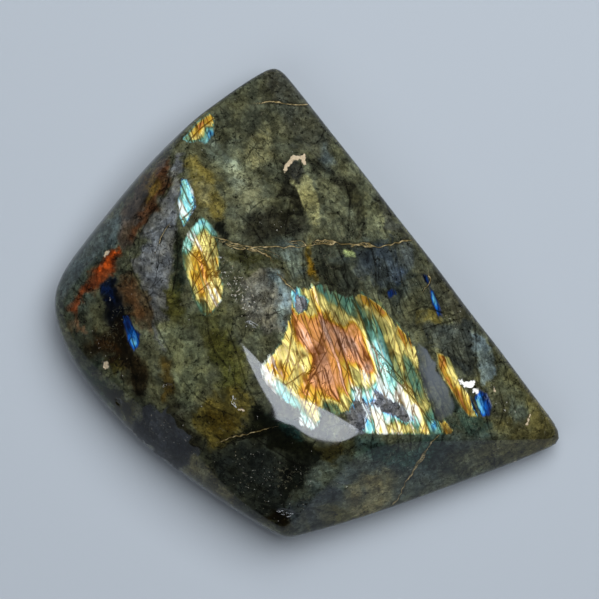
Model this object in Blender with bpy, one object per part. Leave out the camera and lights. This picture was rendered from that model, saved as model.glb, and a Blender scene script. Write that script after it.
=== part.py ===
"""A polished labradorite freeform: one solid stone, ground to broad faces by hand.

The stone lies on its flat base with the display side up. X runs to the right
and Y away from someone who looks down on it, Z is up, and the origin is under
the middle of the stone's outline, on the base. Sizes below are in millimetres.
"""

import math
from collections import namedtuple

import bmesh
import bpy
import numpy as np

MM = 0.001

# Each ground face is a slightly domed plane. "facing" is the compass direction
# that it looks towards, counted in degrees from +X to +Y. "slope" is how far it
# leans from level: 0 looks straight up, 90 is upright, more looks down.
# "through" is a point on it, "dome" the radius of its crown, and "soften" how
# wide the wheel blended its ridges into the faces that were cut before it.
Face = namedtuple("Face", "name facing slope through dome soften")

RIM = 10.5  # height at which the outline is widest

SIDES = (
    Face("back_right_side", 37.8, 93, (25.3, 11.8, RIM), 20000, 0),
    Face("back_left_side", 127.0, 94, (-17.5, 45.0, RIM), 400, 4),
    Face("left_back_side", 139.4, 95, (-41.4, 22.4, RIM), 900, 5),
    Face("left_side", 188.0, 98, (-60.4, -0.5, RIM), 300, 6),
    Face("left_front_side", 217.0, 100, (-46.7, -22.2, RIM), 300, 7),
    Face("front_left_side", 236.0, 100, (-23.4, -41.0, RIM), 400, 6),
    Face("front_right_side", 287.2, 99, (18.2, -46.4, RIM), 1500, 2),
    Face("right_front_side", 292.4, 98, (44.9, -37.4, RIM), 900, 6),
    Face("right_side", 0.0, 96, (57.3, -28.0, RIM), 300, 4),
)
TOPS = (
    Face("main_face", 38.0, 24.5, (9.7, 7.0, 21.3), 300, 3),
    Face("left_face", 195.0, 28.5, (-36.0, -8.0, 22.6), 200, 11),
    Face("back_left_face", 153.0, 47.0, (-40.0, 16.0, 20.6), 400, 5),
    Face("front_left_face", 255.0, 32.0, (-6.0, -37.0, 21.8), 300, 6),
    Face("lower_left_face", 231.0, 50.0, (-19.5, -41.5, 15.0), 300, 5),
    Face("front_right_face", 292.0, 48.0, (20.3, -37.0, 17.6), 500, 1.6),
)
UNDERS = (
    Face("under_left", 190.0, 138, (-51.0, 0.0, 2.0), 200, 7),
    Face("under_front_left", 228.0, 138, (-33.0, -35.0, 2.0), 300, 7),
    Face("under_front", 270.0, 138, (0.0, -49.5, 2.0), 300, 7),
    Face("under_back", 130.0, 138, (-29.0, 31.0, 2.0), 300, 7),
)
BASE_SOFTEN = 3.0  # how wide the edge of the base is eased

HEART = np.array((-2.0, -4.0, 13.0))  # well inside, where every face can be seen from
PEBBLE = np.array((56.0, 52.0, 17.0))  # half-sizes of the pebble that the net starts as
NET_CUTS = 95  # cuts across each side of the cube that the net is folded from
FACETS = 9000  # triangles that are kept, most of them along the ridges
SEARCH_REACH = 1.7  # the search for the surface goes this far past the pebble
SEARCH_STEPS = 34

# A hand-held stone never meets the wheel quite square, so its faces roll a little.
# Each roll has the direction that it runs in, its wavelength and its height.
ROLLS = (
    ((0.81, 0.50, 0.30), 31.0, 0.16),
    ((-0.53, 0.82, 0.21), 23.0, 0.11),
    ((0.32, -0.43, 0.84), 17.0, 0.07),
)

STONE_COLOUR = (0.075, 0.082, 0.055, 1.0)
STONE_ROUGHNESS = 0.12


def clear_scene():
    for obj in list(bpy.data.objects):
        bpy.data.objects.remove(obj, do_unlink=True)


def outward(face):
    """The unit vector that a face looks along."""
    facing, slope = math.radians(face.facing), math.radians(face.slope)
    level = math.sin(slope)
    return np.array((level * math.cos(facing), level * math.sin(facing), math.cos(slope)))


def beyond(face, points):
    """How far each point stands outside one domed face; negative inside."""
    offset = points - face.through
    height = offset @ outward(face)
    across = (offset**2).sum(axis=1) - height**2
    return height + across / (2 * face.dome)


def blended_max(a, b, width):
    """The larger of two numbers, rounded off where they are within a width."""
    if width == 0:
        return np.maximum(a, b)
    share = np.maximum(width - abs(a - b), 0) / width
    return np.maximum(a, b) + share**3 * width / 6


def roll(points):
    return sum(
        height * np.sin(2 * math.pi * (points @ way) / length)
        for way, length, height in ROLLS
    )


def beyond_stone(points):
    """How far each point stands outside the stone, once all its faces are ground."""
    most = beyond(SIDES[0], points)
    for face in SIDES[1:] + TOPS + UNDERS:
        most = blended_max(most, beyond(face, points), face.soften)
    return blended_max(most + roll(points), -points[:, 2], BASE_SOFTEN)


def surface_points(rays):
    """Where rays from the heart of the stone come out of it."""
    inside = np.zeros(len(rays))
    outside = np.full(len(rays), SEARCH_REACH)
    for _ in range(SEARCH_STEPS):
        middle = (inside + outside) / 2
        within = beyond_stone(HEART + rays * middle[:, None]) < 0
        inside = np.where(within, middle, inside)
        outside = np.where(within, outside, middle)
    return HEART + rays * outside[:, None]


def centred(points):
    """The points moved sideways, so that the origin is under the middle of the outline."""
    middle = (points.min(axis=0) + points.max(axis=0)) / 2
    return points - (middle[0], middle[1], 0.0)


def ground_stone():
    """A net folded from a cube, blown up to a pebble and ground to the stone's faces."""
    net = bmesh.new()
    bmesh.ops.create_cube(net, size=2)
    bmesh.ops.subdivide_edges(net, edges=net.edges[:], cuts=NET_CUTS, use_grid_fill=True)
    rays = np.tan(math.pi / 4 * np.array([vertex.co for vertex in net.verts]))
    rays *= PEBBLE / np.linalg.norm(rays, axis=1, keepdims=True)
    for vertex, point in zip(net.verts, centred(surface_points(rays))):
        vertex.co = point * MM
    mesh = bpy.data.meshes.new("labradorite_stone")
    net.to_mesh(mesh)
    net.free()
    mesh.shade_smooth()
    stone = bpy.data.objects.new("labradorite_stone", mesh)
    bpy.context.collection.objects.link(stone)
    thin_out = stone.modifiers.new("fewer_facets", "DECIMATE")
    thin_out.ratio = FACETS / (2 * len(mesh.polygons))
    return stone


def polished_labradorite():
    material = bpy.data.materials.new("polished_labradorite")
    material.use_nodes = True
    shader = material.node_tree.nodes["Principled BSDF"]
    shader.inputs["Base Color"].default_value = STONE_COLOUR
    shader.inputs["Roughness"].default_value = STONE_ROUGHNESS
    shader.inputs["Metallic"].default_value = 0.0
    return material


def main():
    clear_scene()
    stone = ground_stone()
    stone.data.materials.append(polished_labradorite())


main()
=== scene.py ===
# %% [markdown]
# # A polished labradorite freeform
# This notebook dresses one stone: a chunk of labradorite, ground by hand to broad domed
# faces and polished like glass. Most of it is a dark grey-green feldspar, but where the
# light meets thin layers inside the crystal it flashes blue, teal, gold and copper. The
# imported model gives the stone's size and place. We load it first and keep its box, so
# that the dressed stone can be compared with it at the end.

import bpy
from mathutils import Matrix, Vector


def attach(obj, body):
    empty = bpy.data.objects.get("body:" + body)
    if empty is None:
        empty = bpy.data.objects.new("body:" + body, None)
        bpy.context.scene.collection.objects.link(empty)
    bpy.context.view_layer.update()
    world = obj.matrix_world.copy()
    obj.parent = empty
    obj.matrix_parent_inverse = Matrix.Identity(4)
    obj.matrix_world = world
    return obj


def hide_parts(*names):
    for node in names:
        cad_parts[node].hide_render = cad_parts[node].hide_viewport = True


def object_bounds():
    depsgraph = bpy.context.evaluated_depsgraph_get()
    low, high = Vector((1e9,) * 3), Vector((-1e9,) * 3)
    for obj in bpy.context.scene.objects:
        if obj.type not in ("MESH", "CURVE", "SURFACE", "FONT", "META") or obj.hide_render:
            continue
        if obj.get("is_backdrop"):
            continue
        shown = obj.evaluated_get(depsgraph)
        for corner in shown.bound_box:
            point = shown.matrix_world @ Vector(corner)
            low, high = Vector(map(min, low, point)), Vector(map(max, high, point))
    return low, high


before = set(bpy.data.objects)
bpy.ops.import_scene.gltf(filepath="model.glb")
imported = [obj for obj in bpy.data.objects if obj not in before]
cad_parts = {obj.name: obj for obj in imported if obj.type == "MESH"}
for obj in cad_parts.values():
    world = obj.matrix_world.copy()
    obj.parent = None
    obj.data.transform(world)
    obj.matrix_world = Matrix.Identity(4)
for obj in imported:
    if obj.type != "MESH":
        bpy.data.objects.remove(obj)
solid_low, solid_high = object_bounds()
print("the solid stone runs from", tuple(solid_low), "to", tuple(solid_high))

# %% Bring in what Blender offers
import math
from collections import namedtuple
from functools import partial

import bmesh
import bpy
import numpy as np
from mathutils import Vector

MM = 0.001
scene = bpy.context.scene

# %% [markdown]
# ## The camera
# The photograph looks straight down on the stone. A long lens far above flattens the
# perspective, as it does there. Everything that is painted on the stone later is placed
# by how it looks from this camera, in pixels of a square picture 599 pixels wide, so one
# helper turns a point of the stone into its pixel.

# %% Place the camera
PICTURE_WIDTH = 599
PICTURE_MIDDLE = PICTURE_WIDTH / 2
CAMERA_HEIGHT = 1000.0  # millimetres above the surface that the stone lies on
CAMERA_X, CAMERA_Y = -1.7, 0.75
RIM_HEIGHT = 10.0
RIM_PIXEL = 0.22  # millimetres to a pixel, at the height of the stone's rim
SENSOR = 36.0
PIXELS_PER_SLOPE = (CAMERA_HEIGHT - RIM_HEIGHT) / RIM_PIXEL

camera = bpy.data.objects.new("camera", bpy.data.cameras.new("camera"))
camera.location = Vector((CAMERA_X, CAMERA_Y, CAMERA_HEIGHT)) * MM
camera.data.sensor_width = SENSOR
camera.data.lens = SENSOR * PIXELS_PER_SLOPE / PICTURE_WIDTH
scene.collection.objects.link(camera)
scene.camera = camera
print("lens", round(camera.data.lens, 1), "mm")


# %% A helper: where the camera sees a point
def seen(points):
    """The picture's pixels, right and down, of points in millimetres."""
    reach = PIXELS_PER_SLOPE / (CAMERA_HEIGHT - points[:, 2])
    across = PICTURE_MIDDLE + (points[:, 0] - CAMERA_X) * reach
    down = PICTURE_MIDDLE - (points[:, 1] - CAMERA_Y) * reach
    return np.column_stack((across, down))


# %% [markdown]
# ## The ground shape
# A lapidary presses a rough stone against a turning wheel again and again, and each
# press leaves one broad, slightly domed face. The solid model was made in the same way,
# so the same faces are repeated here and a much finer net of points is ground to them.
# Asking a formula where the surface lies keeps the polish flawless at any fineness,
# which a smoothed copy of the coarse solid wouldn't. The rolls that hand grinding leaves
# are gentler here than in the solid, so that reflections keep their straight edges.

# %% The faces, as they were ground
# "facing" is the compass direction from +X to +Y and "slope" the lean from level, both
# in degrees. "through" is a point on the face, "dome" the radius of its crown and
# "soften" the width of its blended ridges, in millimetres.
Face = namedtuple("Face", "name facing slope through dome soften")
RIM = 10.5  # height at which the outline is widest

SIDES = (
    Face("back_right_side", 37.8, 93, (25.3, 11.8, RIM), 20000, 0),
    Face("back_left_side", 127.0, 94, (-17.5, 45.0, RIM), 400, 4),
    Face("left_back_side", 139.4, 95, (-41.4, 22.4, RIM), 900, 5),
    Face("left_side", 188.0, 98, (-60.4, -0.5, RIM), 300, 6),
    Face("left_front_side", 217.0, 100, (-46.7, -22.2, RIM), 300, 7),
    Face("front_left_side", 236.0, 100, (-23.4, -41.0, RIM), 400, 6),
    Face("front_right_side", 287.2, 99, (18.2, -46.4, RIM), 1500, 2),
    Face("right_front_side", 292.4, 98, (44.9, -37.4, RIM), 900, 6),
    Face("right_side", 0.0, 96, (57.3, -28.0, RIM), 300, 4),
)
TOPS = (
    Face("main_face", 38.0, 24.5, (9.7, 7.0, 21.3), 300, 3),
    Face("left_face", 195.0, 28.5, (-36.0, -8.0, 22.6), 200, 11),
    Face("back_left_face", 153.0, 47.0, (-40.0, 16.0, 20.6), 400, 5),
    Face("front_left_face", 255.0, 32.0, (-6.0, -37.0, 21.8), 300, 6),
    Face("lower_left_face", 231.0, 50.0, (-19.5, -41.5, 15.0), 300, 5),
    Face("front_right_face", 292.0, 48.0, (20.3, -37.0, 17.6), 500, 1.6),
)
UNDERS = (
    Face("under_left", 190.0, 138, (-51.0, 0.0, 2.0), 200, 7),
    Face("under_front_left", 228.0, 138, (-33.0, -35.0, 2.0), 300, 7),
    Face("under_front", 270.0, 138, (0.0, -49.5, 2.0), 300, 7),
    Face("under_back", 130.0, 138, (-29.0, 31.0, 2.0), 300, 7),
)
BASE_SOFTEN = 3.0  # how wide the edge of the base is eased
ROLLS = (  # direction, wavelength and height of each roll
    ((0.81, 0.50, 0.30), 31.0, 0.06),
    ((-0.53, 0.82, 0.21), 23.0, 0.04),
    ((0.32, -0.43, 0.84), 17.0, 0.03),
)
HEART = np.array((-2.0, -4.0, 13.0))  # well inside, where every face can be seen from
PEBBLE = np.array((56.0, 52.0, 17.0))  # half-sizes of the pebble that the net starts as
SEARCH_REACH = 1.7  # the search for the surface goes this far past the pebble
SEARCH_STEPS = 34
print(len(SIDES + TOPS + UNDERS), "ground faces and the base")


# %% How far a point stands outside the stone
def outward(face):
    """The unit vector that a face looks along."""
    facing, slope = math.radians(face.facing), math.radians(face.slope)
    level = math.sin(slope)
    return np.array((level * math.cos(facing), level * math.sin(facing), math.cos(slope)))


def beyond(face, points):
    """How far each point stands outside one domed face; negative inside."""
    offset = points - face.through
    height = offset @ outward(face)
    across = (offset**2).sum(axis=1) - height**2
    return height + across / (2 * face.dome)


def blended_max(a, b, width):
    """The larger of two numbers, rounded off where they are within a width."""
    if width == 0:
        return np.maximum(a, b)
    share = np.maximum(width - abs(a - b), 0) / width
    return np.maximum(a, b) + share**3 * width / 6


def roll(points):
    return sum(
        height * np.sin(2 * math.pi * (points @ way) / length)
        for way, length, height in ROLLS
    )


def beyond_stone(points):
    most = beyond(SIDES[0], points)
    for face in SIDES[1:] + TOPS + UNDERS:
        most = blended_max(most, beyond(face, points), face.soften)
    return blended_max(most + roll(points), -points[:, 2], BASE_SOFTEN)


# %% Grind a ray from the heart of the stone to its surface
def surface_points(rays):
    inside = np.zeros(len(rays))
    outside = np.full(len(rays), SEARCH_REACH)
    for _ in range(SEARCH_STEPS):
        middle = (inside + outside) / 2
        within = beyond_stone(HEART + rays * middle[:, None]) < 0
        inside = np.where(within, middle, inside)
        outside = np.where(within, outside, middle)
    return HEART + rays * outside[:, None]


def ground(net):
    """The surface points, in millimetres, that a net's vertices come to."""
    rays = np.tan(math.pi / 4 * np.array([vertex.co for vertex in net.verts]))
    rays *= PEBBLE / np.linalg.norm(rays, axis=1, keepdims=True)
    return surface_points(rays)


# %% [markdown]
# ## Drawing on the stone
# The stone's markings are drawn in pixels of the picture. Some helpers say how
# deep a point lies inside an outline and how far it is from a line. Others soften edges,
# or add the small irregular drift that keeps outlines from looking drawn with a ruler.

# %% Distances to lines and outlines
FAR = 1e9
KEPT_DISTANCE = 60.0  # pixels; a line further away than this is all the same
TINY = 1e-9


def nearest_on(points, line):
    """For each point: the distance to a line of points, and on which side of it."""
    best = np.full(len(points), FAR)
    side = np.ones(len(points))
    for start, end in zip(line[:-1], line[1:]):
        start, way = np.array(start, float), np.subtract(end, start).astype(float)
        offset = points - start
        along = np.clip(offset @ way / (way @ way), 0, 1)
        gap = np.linalg.norm(offset - along[:, None] * way, axis=1)
        turn = np.sign(way[0] * offset[:, 1] - way[1] * offset[:, 0])
        nearer = gap < best
        best = np.where(nearer, gap, best)
        side = np.where(nearer, turn, side)
    return best, side


def depth_inside(points, outline):
    """How many pixels each point lies inside a closed outline; negative outside."""
    closed = list(outline) + [outline[0]]
    inside = np.zeros(len(points), bool)
    for (x0, y0), (x1, y1) in zip(closed[:-1], closed[1:]):
        spans = (y0 > points[:, 1]) != (y1 > points[:, 1])
        rise = y1 - y0 if y1 != y0 else TINY
        inside ^= spans & (points[:, 0] < (x1 - x0) * (points[:, 1] - y0) / rise + x0)
    gap, _ = nearest_on(points, closed)
    return np.where(inside, gap, -gap)


def deepest(points, outlines):
    """How deep each point lies inside the nearest of several outlines."""
    return np.max([depth_inside(points, outline) for outline in outlines], axis=0)


def signed_distance(points, lines):
    """The distance to the nearest of several lines, negative on one side of it."""
    best = np.full(len(points), FAR)
    signed = np.full(len(points), FAR)
    for line in lines:
        gap, side = nearest_on(points, line)
        nearer = gap < best
        best = np.where(nearer, gap, best)
        signed = np.where(nearer, gap * side, signed)
    return np.clip(signed, -KEPT_DISTANCE, KEPT_DISTANCE)


# %% Soft steps, soft spots and drift
def step(values, low, high):
    """0 below low, 1 above high, and a smooth rise between them."""
    share = np.clip((values - low) / (high - low), 0, 1)
    return share * share * (3 - 2 * share)


def spot(points, centre, turn, half_length, half_width, softness=0.5):
    """1 inside a turned ellipse and 0 outside. The turn is clockwise, in degrees."""
    c, s = math.cos(math.radians(turn)), math.sin(math.radians(turn))
    x, y = (points - centre).T
    reach = np.hypot((x * c + y * s) / half_length, (y * c - x * s) / half_width)
    return 1 - step(reach, 1 - softness, 1 + softness)


def drift(points, length, seed, waves=20):
    """A smooth random field about as high as 1, from crossing waves of one length."""
    dice = np.random.default_rng(seed)
    total = np.zeros(len(points))
    for _ in range(waves):
        angle, phase = dice.uniform(0, 2 * math.pi, 2)
        pace = 2 * math.pi / (length * dice.uniform(0.6, 1.6))
        total += np.sin(pace * (points @ (math.cos(angle), math.sin(angle))) + phase)
    return total / math.sqrt(waves / 2)


def drifted(points, length, amount, seed):
    shift = [drift(points, length, seed + k) for k in (0, 1)]
    return points + amount * np.column_stack(shift)


def crisp_drift(points):
    """The drift of a crystal's outline: small, with sharp little steps."""
    return drifted(drifted(points, 22, 1.8, 5), 7, 1.1, 17)


def cloud_drift(points):
    """The drift of a cloud's outline, which wanders further."""
    return drifted(drifted(drifted(points, 60, 5.0, 1), 17, 2.5, 3), 7, 1.3, 19)


# %% [markdown]
# ## Where the flashes lie
# Labradorite flashes where its crystal splits into layers about as thick as a wave of
# light, and each patch of layers ends at a crack or at the edge of a crystal, so a flash
# has a clear outline. A patch often has a thin rim of another colour, where the layers
# thin out. The rim's width is in pixels.

# %% Outlines of the flashes
Flash = namedtuple("Flash", "name rim rim_hue outline")
NAVY, BLUE, CYAN, MINT, TEAL, GREEN, OLIVE = 0.0, 0.12, 0.24, 0.33, 0.42, 0.50, 0.57
LEMON, GOLD, ORANGE, SALMON, MAUVE = 0.66, 0.75, 0.83, 0.91, 1.0

FLASHES = (
    Flash("great flash", 0.8, TEAL, (
        (292, 287), (304, 286), (310, 289), (319, 281), (327, 291), (336, 296), (352, 299), (358, 293),
        (367, 296), (378, 304), (389, 314), (400, 328), (410, 338), (417, 350), (421, 368), (424, 386),
        (431, 403), (436, 419), (446, 421), (454, 430), (451, 434.5), (420, 434.5), (385, 434),
        (365, 433), (357, 424), (346, 412), (337, 414), (329, 410), (319, 408), (319, 420), (313, 431),
        (302, 424), (300, 409), (288, 403), (275, 393), (266, 380), (263, 367), (272, 355), (281, 342),
        (286, 330), (290, 314), (291, 300),
    )),
    Flash("oval flash", 1.3, TEAL, (
        (201, 217), (211, 224), (217, 235), (219, 250), (219, 267), (224, 287), (222, 299), (215, 309),
        (208, 317), (200, 312), (193, 297), (189, 282), (184, 267), (182, 252), (184, 241), (191, 229),
    )),
    Flash("teal sliver", 1.0, BLUE, (
        (182, 178), (187, 180), (192, 190), (196, 207), (190, 216), (184, 226), (180, 217), (179, 200),
    )),
    Flash("edge flash", 1.0, CYAN, (
        (183, 139), (194, 126), (205, 116), (211, 112), (216, 119), (213, 127), (214, 134), (205, 144),
        (199, 140), (190, 143),
    )),
    Flash("blue streak", 4.0, NAVY, (
        (123, 316), (129, 315), (134, 326), (141, 334), (140, 344), (134, 352), (129, 342), (124, 328),
    )),
    Flash("blue sliver", 2.0, NAVY, (
        (429, 286), (434, 291), (439, 303), (443, 318), (438, 316), (432, 303),
    )),
    Flash("violet spot", 3.0, NAVY, ((387, 292), (392, 289), (396, 294), (390, 298))),
    Flash("blue fleck", 4.0, NAVY, ((420, 272), (427, 276), (430, 285), (424, 282))),
    Flash("right flash", 1.2, OLIVE, (
        (437, 352), (449, 358), (456, 373), (460, 384), (469, 394), (475, 405), (478, 416), (470, 418),
        (461, 408), (454, 395), (445, 380), (438, 366),
    )),
    Flash("right blue", 3.0, NAVY, (
        (474, 397), (481, 390), (487, 394), (492, 406), (490, 416), (482, 416), (477, 407),
    )),
)
print(len(FLASHES), "flashes")

# %% Grey crystal that shows through the great flash, with a blue rim
Hole = namedtuple("Hole", "rim outline")
HOLE_COLOUR = (106, 108, 114)
HOLES = (
    Hole(2.5, ((296, 298), (302, 297), (307, 301), (305, 308), (299, 312), (295, 306))),
    Hole(3.0, (
        (358, 396), (363, 401), (368, 413), (366, 424), (360, 431), (353, 425), (351, 412), (354, 403),
    )),
    Hole(3.5, (
        (376, 392), (384, 396), (395, 403), (408, 413), (414, 420), (406, 421), (392, 414), (378, 409),
        (369, 403), (375, 400),
    )),
)

# %% [markdown]
# ## The colours of the flashes
# A flash's colour only depends on how thick its layers are, so one number can stand for
# it: 0 is the thinnest, which flash navy and blue, then come teal, green and gold, and
# at 1 copper and mauve. Each named place below pulls the number around it towards its
# own colour, and everything between two places runs through the colours between them,
# as it does in the crystal. The second number is how strongly the place glows.

# %% Places that set a flash's colour and glow
PLACES = (
    (CYAN, 1.3, ((295, 290), (285, 400), (369, 402), (371, 427))),
    (CYAN, 2.0, ((373, 407), (355, 395), (385, 391), (272, 390), (377, 389))),
    (MINT, 1.3, ((389, 379), (416, 421))),
    (MINT, 1.75, ((377, 345), (380, 356), (383, 366), (192, 234), (191, 205))),
    (MINT, 2.0, ((390, 388), (388, 418), (308, 423), (393, 391))),
    (TEAL, 0.85, ((373, 334), (350, 307), (371, 325), (439, 430))),
    (TEAL, 0.42, ((336, 299), (343, 298), (352, 300), (322, 287), (329, 295))),
    (TEAL, 0.3, ((330, 409), (347, 305))),
    (GREEN, 0.8, ((368, 315), (399, 372), (394, 360), (417, 385), (407, 364), (337, 409))),
    (GREEN, 0.65, ((411, 379), (431, 419), (450, 361))),
    (OLIVE, 0.42, ((336, 312), (344, 317), (383, 322))),
    (OLIVE, 0.9, ((401, 362), (420, 398), (412, 395), (390, 343), (352, 398))),
    (LEMON, 1.0, (
        (311, 300), (317, 297), (323, 302), (290, 334), (294, 346), (399, 348), (309, 308), (412, 356),
        (423, 404), (424, 430), (352, 378), (298, 380),
    )),
    (LEMON, 1.35, (
        (304, 290), (391, 426), (304, 353), (304, 366), (311, 405), (281, 356), (288, 352), (372, 379),
        (294, 389), (361, 375), (379, 430), (292, 360), (312, 416), (344, 405), (416, 412), (408, 429),
        (344, 398),
    )),
    (LEMON, 2.6, ((396, 394), (399, 398), (407, 407), (372, 412), (381, 421), (376, 416))),
    (MINT, 1.2, ((279, 393), (294, 403))),
    (LEMON, 1.7, ((268, 380), (399, 430), (464, 388), (366, 378), (410, 411))),
    (GOLD, 1.0, ((285, 372), (309, 389), (315, 397))),
    (GOLD, 1.35, ((275, 366), (470, 402))),
    (ORANGE, 0.75, ((346, 391),)),
    (OLIVE, 0.7, ((391, 327),)),
    (OLIVE, 0.35, ((386, 320),)),
    (GOLD, 0.6, ((329, 316), (399, 334), (443, 425), (406, 338))),
    (LEMON, 1.1, ((450, 371), (456, 380), (475, 411))),
    (GOLD, 0.3, ((368, 300), (358, 296), (376, 307), (382, 313))),
    (ORANGE, 1.0, ((301, 393), (329, 391), (332, 361), (358, 339), (296, 319), (347, 376))),
    (ORANGE, 0.6, (
        (352, 330), (444, 362), (460, 397), (467, 411), (364, 360), (440, 368), (448, 381), (456, 394),
    )),
    (ORANGE, 0.3, ((465, 407),)),
    (SALMON, 1.15, (
        (304, 320), (300, 333), (312, 331), (316, 324), (312, 346), (306, 340), (352, 353),
    )),
    (SALMON, 0.9, ((337, 395), (342, 381), (334, 351), (313, 380))),
    (SALMON, 0.75, ((329, 379), (322, 348), (326, 359), (320, 367), (322, 372))),
    (MAUVE, 0.85, ((337, 335), (345, 343), (368, 367), (352, 345))),
    (MAUVE, 0.65, ((329, 333), (338, 345), (326, 326))),
    (BLUE, 1.0, ((434, 425),)),
    (MINT, 1.4, ((197, 228), (187, 246))),
    (MINT, 1.9, ((186, 214), (188, 209), (190, 203), (187, 196))),
    (CYAN, 0.7, ((203, 220), (211, 228))),
    (TEAL, 0.7, ((186, 222), (181, 192), (199, 308))),
    (GREEN, 0.6, ((192, 292), (205, 304), (184, 262))),
    (LEMON, 1.3, ((199, 240), (205, 235), (207, 250), (203, 245))),
    (LEMON, 1.5, ((213, 284), (217, 291), (213, 300), (211, 294))),
    (GOLD, 0.8, ((216, 262), (197, 278), (214, 272), (202, 294), (208, 272), (196, 256))),
    (GOLD, 1.1, ((200, 268), (201, 285), (194, 262))),
    (OLIVE, 0.4, ((214, 244), (216, 253))),
    (GREEN, 0.9, ((189, 139), (204, 136), (187, 141))),
    (GOLD, 0.65, ((199, 131), (210, 122), (194, 134), (213, 120))),
    (ORANGE, 0.5, ((199, 124), (205, 118))),
    (BLUE, 0.45, ((209, 138), (206, 141), (211, 134))),
    (BLUE, 0.6, ((132, 332), (137, 337))),
    (BLUE, 0.95, ((484, 408), (436, 310), (480, 398))),
    (CYAN, 0.9, ((434, 299), (133, 345), (480, 413))),
    (NAVY, 1.3, ((488, 400), (489, 412), (484, 395))),
    (NAVY, 0.5, ((391, 293), (126, 320), (129, 325))),
    (NAVY, 0.25, ((424, 277), (421, 273), (427, 282))),
)
PLACE_REACH = 3.0  # pixels within which a place has its colour to itself
PLACE_FALL = 2.2  # how fast its pull fades
CLEAVAGE = math.radians(71.0)  # clockwise from the right: the way that the layers run
STRETCH = 0.6  # colours run along the layers, so gaps count less that way
RIM_REACH = 4.0  # pixels outside an outline that its rim's colour still reaches
NO_FLASH = -99.0  # a depth far outside every flash
print("places of", len(PLACES), "colours")


# %% Give each point its hue and glow
def flash_colours(points):
    """The hue and the glow that the places give each point."""
    along, across = math.cos(CLEAVAGE), math.sin(CLEAVAGE)
    turn = np.array(((along * STRETCH, across), (across * STRETCH, -along)))
    turned = points @ turn
    hue, glow, total = 0, 0, 0
    for place_hue, place_glow, spots in PLACES:
        for place in np.array(spots, float) @ turn:
            gap = ((turned - place) ** 2).sum(axis=1)
            pull = 1 / (gap + PLACE_REACH**2) ** PLACE_FALL
            hue = hue + pull * place_hue
            glow = glow + pull * place_glow
            total = total + pull
    return hue / total, glow / total


def rimmed(hue, depth, width, rim_hue):
    """The hue, drawn to the rim's hue within its width of an outline."""
    rim = np.clip(1 - depth / width, 0, 1) * (depth > -RIM_REACH)
    return hue * (1 - rim) + rim_hue * rim


def flash_fields(points):
    """How deep in a flash each point lies, and its hue and glow there."""
    depth = np.full(len(points), NO_FLASH)
    hue, glow = flash_colours(points)
    for flash in FLASHES:
        inside = depth_inside(points, flash.outline)
        hue = rimmed(hue, inside, flash.rim, flash.rim_hue)
        depth = np.maximum(depth, inside)
    for hole in HOLES:
        outside = -depth_inside(points, hole.outline)
        hue = rimmed(hue, outside, hole.rim, BLUE)
        depth = np.minimum(depth, outside)
    return depth, hue, glow

# %% [markdown]
# ## Cracks and veins
# Long straight cracks follow the crystal's cleavage and cut the flashes into slats.
# A few golden veins, healed with iron-stained mineral, cross the whole stone. Each line
# is kept as a signed distance: negative on one side and positive on the other, so that
# the shader finds its middle sharply even between two points of the net.

# %% Lines drawn one by one
CRACKS = (
    ((352, 300), (360, 316), (368, 334), (376, 353), (380, 372), (384, 385)),
    ((355, 302), (363, 324), (372, 347)),
    ((371, 343), (393, 369), (415, 394)),
    ((388, 372), (402, 386), (414, 399), (431, 423)),
    ((419, 366), (425, 382), (430, 398), (433, 410), (437, 426)),
    (
        (312, 291), (315, 305), (321, 318), (323, 331), (320, 342), (315, 355), (311, 369), (309, 385),
        (305, 406),
    ),
    ((293, 311), (292, 334), (289, 353), (285, 372), (283, 384)),
    ((296, 331), (304, 343), (313, 356), (317, 362)),
    ((329, 318), (336, 334), (342, 350), (352, 378), (355, 391)),
    ((336, 315), (345, 334), (352, 353)),
    ((325, 369), (331, 390), (339, 402)),
    ((315, 369), (320, 385), (326, 402), (331, 414)),
    ((285, 385), (294, 380), (304, 372), (310, 375)),
    ((306, 388), (315, 372), (326, 352)),
    ((211, 237), (209, 252), (206, 272), (207, 292), (207, 316), (210, 345)),
    ((190, 229), (199, 250), (213, 283), (221, 296)),
    ((186, 248), (200, 262), (218, 275)),
    ((217, 243), (203, 268), (192, 289)),
    ((222, 268), (208, 284), (197, 293)),
    ((181, 184), (189, 202), (195, 211)),
    ((195, 205), (188, 214), (182, 219)),
    ((189, 141), (200, 129), (213, 119)),
    ((475, 318), (476, 340), (476, 362), (480, 385)),
    ((373, 433), (371, 447), (373, 458)),
    ((397, 432), (399, 447), (396, 456)),
    ((410, 431), (411, 448)),
    ((422, 432), (418, 450)),
    ((445, 429), (441, 444)),
    ((486, 416), (489, 428), (492, 437)),
    ((189, 146), (184, 160), (183, 176)),
    ((171, 166), (168, 184), (161, 200), (150, 217), (141, 232)),
    ((146, 216), (158, 206), (168, 192), (174, 176)),
    ((176, 232), (178, 262), (173, 290)),
    ((131, 268), (142, 288), (152, 312), (158, 330), (170, 352)),
    ((112, 322), (127, 352), (138, 380)),
    ((204, 318), (214, 350), (228, 368)),
    ((228, 330), (238, 356), (246, 384), (256, 404)),
    ((186, 384), (198, 398), (214, 408), (230, 414)),
    ((252, 436), (270, 448), (292, 462), (304, 466)),
    ((216, 436), (226, 444), (240, 440), (256, 436)),
    ((303, 250), (303, 268), (306, 282)),
    ((337, 246), (344, 262), (348, 282)),
    ((372, 250), (376, 268), (376, 288)),
    ((398, 262), (402, 282), (410, 300)),
    ((344, 178), (350, 200), (348, 232)),
    ((296, 180), (290, 204), (286, 226)),
    ((240, 216), (252, 226), (262, 242)),
    ((410, 312), (424, 306), (440, 312), (458, 316)),
    ((421, 330), (440, 324), (462, 318)),
    ((500, 392), (504, 408), (500, 424)),
    ((290, 470), (280, 490), (284, 508)),
    ((264, 506), (280, 514), (290, 520)),
)
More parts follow.
